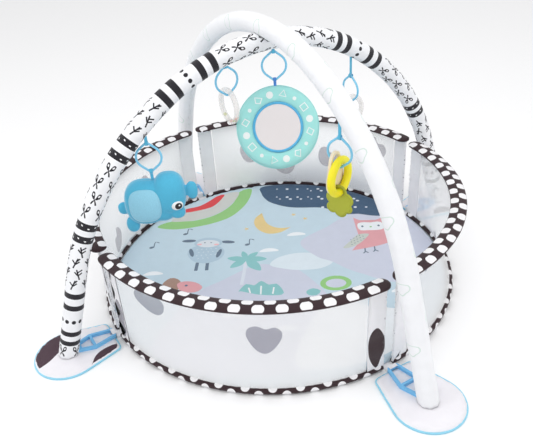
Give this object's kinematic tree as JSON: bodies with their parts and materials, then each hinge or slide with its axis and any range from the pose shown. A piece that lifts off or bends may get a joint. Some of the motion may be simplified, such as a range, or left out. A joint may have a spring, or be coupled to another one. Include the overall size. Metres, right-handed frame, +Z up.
{
  "type": "activity play gym",
  "caption": "Baby play gym: a round padded mat inside fold-down mesh walls, under crossing padded arches that carry hanging toys on ring links.",
  "frame": {"origin": "on the floor under the middle of the round mat", "axes": "+Z up; the front wall faces -Y, the right wall +X; the printed arch stands on the front-left and back-right corners"},
  "size_m": [0.9596, 0.9596, 0.664],
  "materials": {
    "mat_print": "matte",
    "polyester_wadding": "matte",
    "mat_base_cloth": "matte",
    "foot_pad_cloth": "matte",
    "bracket_plastic": "satin",
    "pad_backing_cloth": "matte",
    "webbing": "matte",
    "pole_plastic": "satin",
    "ferrule_metal": "satin",
    "print_sleeve_cloth": "matte",
    "white_sleeve_cloth": "matte",
    "loop_ribbon": "satin",
    "wall_mesh": "matte",
    "spotted_tape": "matte",
    "spring_steel": "satin",
    "border_cloth": "matte",
    "link_plastic": "gloss",
    "plush_cloth": "matte",
    "clear_plastic": "gloss",
    "bead_plastic": "gloss",
    "mirror_cloth": "matte",
    "piping_cloth": "satin",
    "mirror_plastic": "polished",
    "mirror_back_cloth": "matte",
    "mirror_ribbon": "satin",
    "yellow_silicone": "satin",
    "cream_silicone": "satin",
    "green_silicone": "satin"
  },
  "bodies": {
    "root": {"mat_top_sheet": "mat_print", "mat_wadding": "polyester_wadding", "mat_base_sheet": "mat_base_cloth", "foot_pad_front_left": "foot_pad_cloth", "foot_bracket_front_left": "bracket_plastic", "foot_pad_front_right": "foot_pad_cloth", "foot_bracket_front_right": "bracket_plastic", "foot_pad_back_right": "foot_pad_cloth", "foot_bracket_back_right": "bracket_plastic", "foot_pad_back_left": "foot_pad_cloth", "foot_bracket_back_left": "bracket_plastic", "foot_pad_backings": "pad_backing_cloth", "foot_webbings": "webbing", "print_arch_poles": "pole_plastic", "white_arch_poles": "pole_plastic", "pole_ferrules": "ferrule_metal", "print_sleeve": "print_sleeve_cloth", "white_sleeve": "white_sleeve_cloth", "sleeve_wadding": "polyester_wadding", "toy_loops": "loop_ribbon"},
    "front_wall": {"front_mesh": "wall_mesh", "front_rim_tape": "spotted_tape", "front_hem_tape": "spotted_tape", "front_spring_wire": "spring_steel", "front_end_borders": "border_cloth"},
    "right_wall": {"right_mesh": "wall_mesh", "right_rim_tape": "spotted_tape", "right_hem_tape": "spotted_tape", "right_spring_wire": "spring_steel", "right_end_borders": "border_cloth"},
    "back_wall": {"back_mesh": "wall_mesh", "back_rim_tape": "spotted_tape", "back_hem_tape": "spotted_tape", "back_spring_wire": "spring_steel", "back_end_borders": "border_cloth"},
    "left_wall": {"left_mesh": "wall_mesh", "left_rim_tape": "spotted_tape", "left_hem_tape": "spotted_tape", "left_spring_wire": "spring_steel", "left_end_borders": "border_cloth"},
    "plush_link_body": {"plush_link": "link_plastic"},
    "plush_toy": {"plush_body": "plush_cloth", "plush_lobes": "plush_cloth", "plush_tab": "loop_ribbon"},
    "rattle_link_body": {"rattle_link": "link_plastic"},
    "rattle_toy": {"rattle_tube": "clear_plastic", "rattle_beads": "bead_plastic"},
    "mirror_link_body": {"mirror_link": "link_plastic"},
    "mirror_toy": {"mirror_pad": "mirror_cloth", "mirror_bezel": "piping_cloth", "mirror_glass": "mirror_plastic", "mirror_back": "mirror_back_cloth", "mirror_tab": "mirror_ribbon"},
    "teether_link_body": {"teether_link": "link_plastic"},
    "teether_toy": {"teether_ring": "yellow_silicone", "teether_charm": "cream_silicone", "teether_leaf": "green_silicone"},
    "ring_rattle_link_body": {"ring_rattle_link": "link_plastic"},
    "ring_rattle_toy": {"ring_rattle_tube": "clear_plastic", "ring_rattle_beads": "bead_plastic"}
  },
  "joints": [
    {"name": "front_wall_fold", "type": "hinge", "parent": "root", "child": "front_wall", "pos_m": [0, -0.45, 0], "axis": [1, 0, 0], "range_deg": [0, 85]},
    {"name": "right_wall_fold", "type": "hinge", "parent": "root", "child": "right_wall", "pos_m": [0.45, 0, 0], "axis": [0, 1, 0], "range_deg": [0, 85]},
    {"name": "back_wall_fold", "type": "hinge", "parent": "root", "child": "back_wall", "pos_m": [0, 0.45, 0], "axis": [-1, 0, 0], "range_deg": [0, 85]},
    {"name": "left_wall_fold", "type": "hinge", "parent": "root", "child": "left_wall", "pos_m": [-0.45, 0, 0], "axis": [0, -1, 0], "range_deg": [0, 85]},
    {"name": "plush_link_swing", "type": "hinge", "parent": "root", "child": "plush_link_body", "pos_m": [-0.212, -0.212, 0.457], "axis": [0.9636, 0.2672, 0], "range_deg": [-25, 25]},
    {"name": "plush_swing", "type": "hinge", "parent": "plush_link_body", "child": "plush_toy", "pos_m": [-0.212, -0.212, 0.391], "axis": [0.9636, 0.2672, 0], "range_deg": [-25, 25]},
    {"name": "rattle_link_swing", "type": "hinge", "parent": "root", "child": "rattle_link_body", "pos_m": [-0.079, -0.041, 0.566], "axis": [0.7071, 0.7071, 0], "range_deg": [-2, 20]},
    {"name": "rattle_swing", "type": "hinge", "parent": "rattle_link_body", "child": "rattle_toy", "pos_m": [-0.079, -0.041, 0.5109], "axis": [0.7071, 0.7071, 0], "range_deg": [-4, 22]},
    {"name": "mirror_link_swing", "type": "hinge", "parent": "root", "child": "mirror_link_body", "pos_m": [0.016, 0.016, 0.5825], "axis": [0.9636, 0.2672, 0], "range_deg": [0, 20]},
    {"name": "mirror_swing", "type": "hinge", "parent": "mirror_link_body", "child": "mirror_toy", "pos_m": [0.016, 0.016, 0.5165], "axis": [0.9636, 0.2672, 0], "range_deg": [-1, 38]},
    {"name": "teether_link_swing", "type": "hinge", "parent": "root", "child": "teether_link_body", "pos_m": [0.192, -0.192, 0.482], "axis": [0.9367, -0.3502, 0], "range_deg": [-25, 25]},
    {"name": "teether_swing", "type": "hinge", "parent": "teether_link_body", "child": "teether_toy", "pos_m": [0.192, -0.192, 0.4297], "axis": [0.9367, -0.3502, 0], "range_deg": [-25, 25]},
    {"name": "ring_rattle_link_swing", "type": "hinge", "parent": "root", "child": "ring_rattle_link_body", "pos_m": [0.168, 0.168, 0.474], "axis": [0.7373, -0.6756, 0], "range_deg": [-25, 25]},
    {"name": "ring_rattle_swing", "type": "hinge", "parent": "ring_rattle_link_body", "child": "ring_rattle_toy", "pos_m": [0.168, 0.168, 0.4189], "axis": [0.7373, -0.6756, 0], "range_deg": [-22, 22]}
  ]
}
